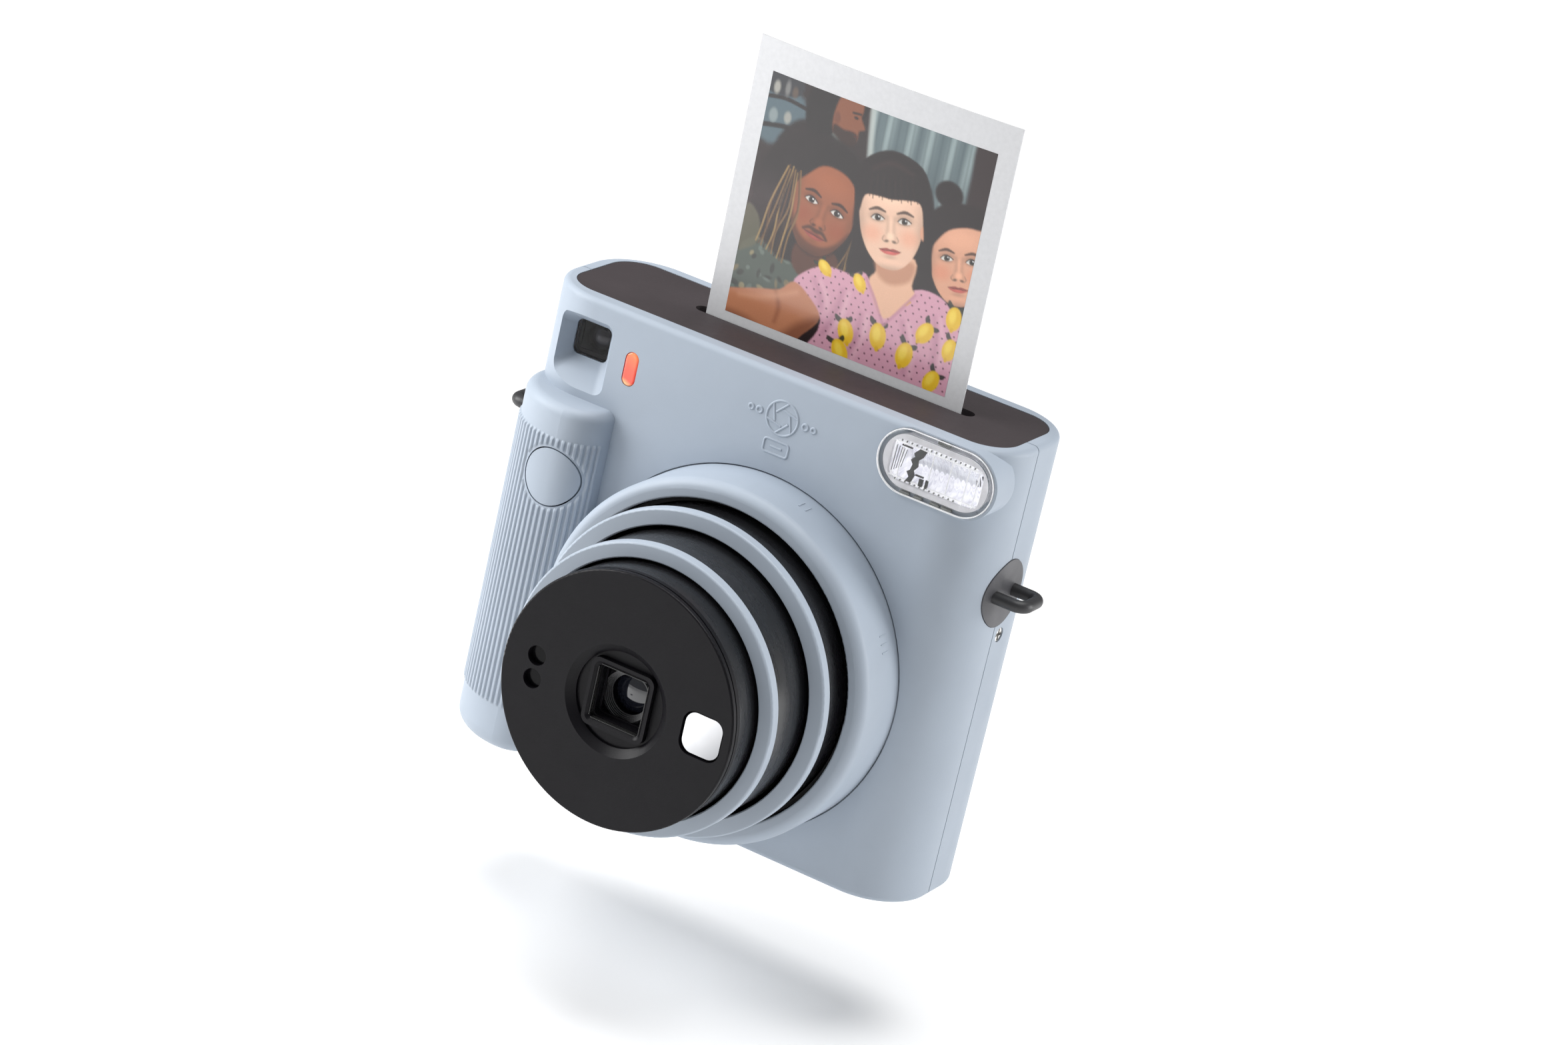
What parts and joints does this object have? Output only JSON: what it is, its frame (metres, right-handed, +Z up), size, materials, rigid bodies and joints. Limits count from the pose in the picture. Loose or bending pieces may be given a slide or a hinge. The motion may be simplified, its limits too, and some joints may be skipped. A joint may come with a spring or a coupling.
{
  "type": "instant camera",
  "caption": "Upright instant camera with a ribbed grip, a telescoping lens turned out by its ring, a wide flash, and a print leaving the slot in its top.",
  "frame": {"origin": "centre of the flat underside, midway between the front and back faces", "axes": "+X to the right seen from the front, +Y towards the back, +Z up; the lens faces -Y"},
  "size_m": [0.1492, 0.0964, 0.1906],
  "materials": {
    "case_plastic": "satin moulded plastic, pale blue-grey",
    "top_plastic": "matte charcoal plastic",
    "black_plastic": "fine matte black plastic",
    "barrel_plastic": "satin black plastic",
    "trim_plastic": "satin pale blue-grey plastic",
    "orange_lens": "translucent orange plastic",
    "clear_plastic": "clear moulded plastic",
    "dark_glass": "dark polished window",
    "lens_glass": "coated optical glass",
    "mirror_face": "convex mirror",
    "reflector": "bright reflector foil",
    "xenon_glass": "clear flash tube",
    "inner_plastic": "plain black moulding",
    "steel": "plain steel",
    "roller_rubber": "dull rubber",
    "gear_plastic": "natural acetal",
    "brass_metal": "plain brass",
    "print_paper": "satin instant print",
    "film_sheet": "dark film sheets",
    "cell_wrap": "wrapped battery cell",
    "board": "green circuit board",
    "capacitor_wrap": "wrapped capacitor",
    "motor_can": "plated motor can",
    "lug_plastic": "dark grey moulded plastic",
    "screw_steel": "nickel-plated screw"
  },
  "bodies": {
    "root": {"battery_contacts": "steel", "battery_lower": "cell_wrap", "battery_sleeve": "inner_plastic", "battery_upper": "cell_wrap", "case_screws": "screw_steel", "chassis": "inner_plastic", "counter_glass": "clear_plastic", "counter_post": "steel", "door_hinge_pin": "steel", "drive_motor": "motor_can", "eyepiece_frame": "black_plastic", "eyepiece_glass": "dark_glass", "film_cartridge": "inner_plastic", "film_stack": "film_sheet", "flash_capacitor": "capacitor_wrap", "flash_cover": "clear_plastic", "flash_reflector": "reflector", "flash_tube": "xenon_glass", "front_shell": "case_plastic", "idler_stud": "steel", "lamp_lens": "orange_lens", "lens_mount": "inner_plastic", "light_cone": "inner_plastic", "main_board": "board", "pressure_plate": "steel", "rear_shell": "case_plastic", "shutter_switch": "inner_plastic", "side_screws": "screw_steel", "strap_discs": "lug_plastic", "strap_lug_left": "lug_plastic", "strap_lug_right": "lug_plastic", "top_panel": "top_plastic", "viewfinder_tube": "inner_plastic", "viewfinder_window": "dark_glass"},
    "power_ring": {"power_ring": "case_plastic"},
    "outer_stage": {"outer_barrel": "barrel_plastic", "outer_trim_ring": "trim_plastic"},
    "middle_stage": {"middle_barrel": "barrel_plastic", "middle_trim_ring": "trim_plastic"},
    "inner_stage": {"inner_barrel": "barrel_plastic", "front_cap": "black_plastic", "lens_frame": "black_plastic", "front_lens": "lens_glass", "shutter_plate": "inner_plastic", "rear_lens": "lens_glass", "sensor_windows": "dark_glass", "selfie_mirror": "mirror_face"},
    "shutter_button": {"shutter_button": "case_plastic"},
    "print": {"instant_print": "print_paper"},
    "drive_roller": {"drive_roller": "roller_rubber", "roller_gear": "gear_plastic"},
    "pinch_roller": {"pinch_roller": "steel"},
    "idler": {"idler_gear": "gear_plastic"},
    "pinion": {"motor_pinion": "brass_metal", "pinion_shaft": "steel"},
    "film_door": {"film_door": "case_plastic", "film_window": "dark_glass"},
    "door_latch": {"door_latch": "case_plastic"},
    "film_counter": {"film_counter": "black_plastic"},
    "battery_door": {"battery_door": "case_plastic"}
  },
  "joints": [
    {"name": "power_ring_turn", "type": "hinge", "parent": "root", "child": "power_ring", "pos_m": [0.0075, -0.03, 0.0484], "axis": [0, -1, 0], "range_deg": [-50, 0]},
    {"name": "outer_stage_slide", "type": "slide", "parent": "root", "child": "outer_stage", "axis": [0, -1, 0], "range_m": [-0.0106, 0]},
    {"name": "middle_stage_slide", "type": "slide", "parent": "root", "child": "middle_stage", "axis": [0, -1, 0], "range_m": [-0.0271, 0]},
    {"name": "inner_stage_slide", "type": "slide", "parent": "root", "child": "inner_stage", "axis": [0, -1, 0], "range_m": [-0.0379, 0]},
    {"name": "shutter_press", "type": "slide", "parent": "root", "child": "shutter_button", "axis": [0, 1, 0], "range_m": [0, 0.0012], "stiffness_N_per_m": 400},
    {"name": "print_slide", "type": "slide", "parent": "root", "child": "print", "axis": [0, 0, 1], "range_m": [-0.0947, 0.012]},
    {"name": "drive_roller_spin", "type": "hinge", "parent": "root", "child": "drive_roller", "pos_m": [0, -0.00395, 0.11], "axis": [1, 0, 0], "range_deg": [-1360, 175]},
    {"name": "pinch_roller_spin", "type": "hinge", "parent": "root", "child": "pinch_roller", "pos_m": [0, 0.00455, 0.11], "axis": [1, 0, 0], "range_deg": [-175, 1360]},
    {"name": "idler_spin", "type": "hinge", "parent": "root", "child": "idler", "pos_m": [-0.0388, -0.0105, 0.10312], "axis": [1, 0, 0], "range_deg": [-158, 1224]},
    {"name": "pinion_spin", "type": "hinge", "parent": "root", "child": "pinion", "pos_m": [-0.0388, -0.0133, 0.11008], "axis": [1, 0, 0], "range_deg": [-2446, 315]},
    {"name": "film_door_hinge", "type": "hinge", "parent": "root", "child": "film_door", "pos_m": [0.0504, 0.0192, 0.059], "axis": [0, 0, -1], "range_deg": [0, 95]},
    {"name": "door_latch_slide", "type": "slide", "parent": "film_door", "child": "door_latch", "axis": [0, 0, 1], "range_m": [0, 0.0034]},
    {"name": "film_counter_turn", "type": "hinge", "parent": "root", "child": "film_counter", "pos_m": [-0.0446, 0.0173, 0.082], "axis": [0, 1, 0], "range_deg": [0, 300]},
    {"name": "battery_door_hinge", "type": "hinge", "parent": "root", "child": "battery_door", "pos_m": [-0.041, 0.007, 0.001], "axis": [0, -1, 0], "range_deg": [0, 94]}
  ],
  "couplings": [
    {"joint": "outer_stage_slide", "follows": "power_ring_turn", "m_per_rad": 0.012146},
    {"joint": "middle_stage_slide", "follows": "power_ring_turn", "m_per_rad": 0.031054},
    {"joint": "inner_stage_slide", "follows": "power_ring_turn", "m_per_rad": 0.04343},
    {"joint": "drive_roller_spin", "follows": "print_slide", "rad_per_m": 250},
    {"joint": "pinch_roller_spin", "follows": "print_slide", "rad_per_m": -250},
    {"joint": "idler_spin", "follows": "print_slide", "rad_per_m": -225},
    {"joint": "pinion_spin", "follows": "print_slide", "rad_per_m": 450}
  ]
}
